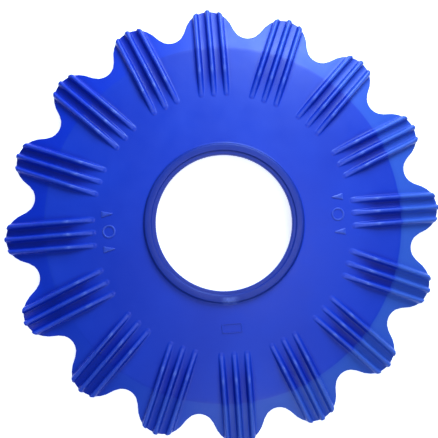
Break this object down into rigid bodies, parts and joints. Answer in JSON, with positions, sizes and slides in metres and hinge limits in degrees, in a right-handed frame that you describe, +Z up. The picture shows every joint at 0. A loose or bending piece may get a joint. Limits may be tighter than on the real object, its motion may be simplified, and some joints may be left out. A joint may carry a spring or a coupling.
{
  "type": "pool cleaner skirt disc",
  "caption": "Round flexible skirt disc with a raised collar round its central bore and a scalloped edge of ribbed petals that flex one by one.",
  "frame": {"origin": "on the bore's axis, at the height of the petal tips' undersides, which the disc stands on", "axes": "+Z up along the bore towards the ribbed side, +X along the middle rib of petal_01; petals are numbered anticlockwise from +X as seen from above"},
  "size_m": [0.4048, 0.4048, 0.0228],
  "materials": {
    "flexible_blue": "semi-gloss moulded skin, smooth, very slightly translucent at thin edges"
  },
  "bodies": {
    "disc": {"mounting_collar": "flexible_blue", "web": "flexible_blue", "bend_01": "flexible_blue", "bend_02": "flexible_blue", "bend_03": "flexible_blue", "bend_04": "flexible_blue", "bend_05": "flexible_blue", "bend_06": "flexible_blue", "bend_07": "flexible_blue", "bend_08": "flexible_blue", "bend_09": "flexible_blue", "bend_10": "flexible_blue", "bend_11": "flexible_blue", "bend_12": "flexible_blue", "bend_13": "flexible_blue", "bend_14": "flexible_blue", "bend_15": "flexible_blue", "bend_16": "flexible_blue", "this_side_up_marks": "flexible_blue", "stamp_pad": "flexible_blue", "gate_scar": "flexible_blue"},
    "flap_01": {"petal_01": "flexible_blue"},
    "flap_02": {"petal_02": "flexible_blue"},
    "flap_03": {"petal_03": "flexible_blue"},
    "flap_04": {"petal_04": "flexible_blue"},
    "flap_05": {"petal_05": "flexible_blue"},
    "flap_06": {"petal_06": "flexible_blue"},
    "flap_07": {"petal_07": "flexible_blue"},
    "flap_08": {"petal_08": "flexible_blue"},
    "flap_09": {"petal_09": "flexible_blue"},
    "flap_10": {"petal_10": "flexible_blue"},
    "flap_11": {"petal_11": "flexible_blue"},
    "flap_12": {"petal_12": "flexible_blue"},
    "flap_13": {"petal_13": "flexible_blue"},
    "flap_14": {"petal_14": "flexible_blue"},
    "flap_15": {"petal_15": "flexible_blue"},
    "flap_16": {"petal_16": "flexible_blue"}
  },
  "joints": [
    {"name": "flap_01_bend", "type": "hinge", "parent": "disc", "child": "flap_01", "pos_m": [0.1773, 0, 0.00775], "axis": [0, -1, 0], "range_deg": [-35, 35], "stiffness_Nm_per_rad": 0.15, "deforming": ["bend_01"]},
    {"name": "flap_02_bend", "type": "hinge", "parent": "disc", "child": "flap_02", "pos_m": [0.1638, 0.06785, 0.00775], "axis": [0.3827, -0.9239, 0], "range_deg": [-35, 35], "stiffness_Nm_per_rad": 0.15, "deforming": ["bend_02"]},
    {"name": "flap_03_bend", "type": "hinge", "parent": "disc", "child": "flap_03", "pos_m": [0.12537, 0.12537, 0.00775], "axis": [0.7071, -0.7071, 0], "range_deg": [-35, 35], "stiffness_Nm_per_rad": 0.15, "deforming": ["bend_03"]},
    {"name": "flap_04_bend", "type": "hinge", "parent": "disc", "child": "flap_04", "pos_m": [0.06785, 0.1638, 0.00775], "axis": [0.9239, -0.3827, 0], "range_deg": [-35, 35], "stiffness_Nm_per_rad": 0.15, "deforming": ["bend_04"]},
    {"name": "flap_05_bend", "type": "hinge", "parent": "disc", "child": "flap_05", "pos_m": [0, 0.1773, 0.00775], "axis": [1, 0, 0], "range_deg": [-35, 35], "stiffness_Nm_per_rad": 0.15, "deforming": ["bend_05"]},
    {"name": "flap_06_bend", "type": "hinge", "parent": "disc", "child": "flap_06", "pos_m": [-0.06785, 0.1638, 0.00775], "axis": [0.9239, 0.3827, 0], "range_deg": [-35, 35], "stiffness_Nm_per_rad": 0.15, "deforming": ["bend_06"]},
    {"name": "flap_07_bend", "type": "hinge", "parent": "disc", "child": "flap_07", "pos_m": [-0.12537, 0.12537, 0.00775], "axis": [0.7071, 0.7071, 0], "range_deg": [-35, 35], "stiffness_Nm_per_rad": 0.15, "deforming": ["bend_07"]},
    {"name": "flap_08_bend", "type": "hinge", "parent": "disc", "child": "flap_08", "pos_m": [-0.1638, 0.06785, 0.00775], "axis": [0.3827, 0.9239, 0], "range_deg": [-35, 35], "stiffness_Nm_per_rad": 0.15, "deforming": ["bend_08"]},
    {"name": "flap_09_bend", "type": "hinge", "parent": "disc", "child": "flap_09", "pos_m": [-0.1773, 0, 0.00775], "axis": [0, 1, 0], "range_deg": [-35, 35], "stiffness_Nm_per_rad": 0.15, "deforming": ["bend_09"]},
    {"name": "flap_10_bend", "type": "hinge", "parent": "disc", "child": "flap_10", "pos_m": [-0.1638, -0.06785, 0.00775], "axis": [-0.3827, 0.9239, 0], "range_deg": [-35, 35], "stiffness_Nm_per_rad": 0.15, "deforming": ["bend_10"]},
    {"name": "flap_11_bend", "type": "hinge", "parent": "disc", "child": "flap_11", "pos_m": [-0.12537, -0.12537, 0.00775], "axis": [-0.7071, 0.7071, 0], "range_deg": [-35, 35], "stiffness_Nm_per_rad": 0.15, "deforming": ["bend_11"]},
    {"name": "flap_12_bend", "type": "hinge", "parent": "disc", "child": "flap_12", "pos_m": [-0.06785, -0.1638, 0.00775], "axis": [-0.9239, 0.3827, 0], "range_deg": [-35, 35], "stiffness_Nm_per_rad": 0.15, "deforming": ["bend_12"]},
    {"name": "flap_13_bend", "type": "hinge", "parent": "disc", "child": "flap_13", "pos_m": [0, -0.1773, 0.00775], "axis": [-1, 0, 0], "range_deg": [-35, 35], "stiffness_Nm_per_rad": 0.15, "deforming": ["bend_13"]},
    {"name": "flap_14_bend", "type": "hinge", "parent": "disc", "child": "flap_14", "pos_m": [0.06785, -0.1638, 0.00775], "axis": [-0.9239, -0.3827, 0], "range_deg": [-35, 35], "stiffness_Nm_per_rad": 0.15, "deforming": ["bend_14"]},
    {"name": "flap_15_bend", "type": "hinge", "parent": "disc", "child": "flap_15", "pos_m": [0.12537, -0.12537, 0.00775], "axis": [-0.7071, -0.7071, 0], "range_deg": [-35, 35], "stiffness_Nm_per_rad": 0.15, "deforming": ["bend_15"]},
    {"name": "flap_16_bend", "type": "hinge", "parent": "disc", "child": "flap_16", "pos_m": [0.1638, -0.06785, 0.00775], "axis": [-0.3827, -0.9239, 0], "range_deg": [-35, 35], "stiffness_Nm_per_rad": 0.15, "deforming": ["bend_16"]}
  ]
}
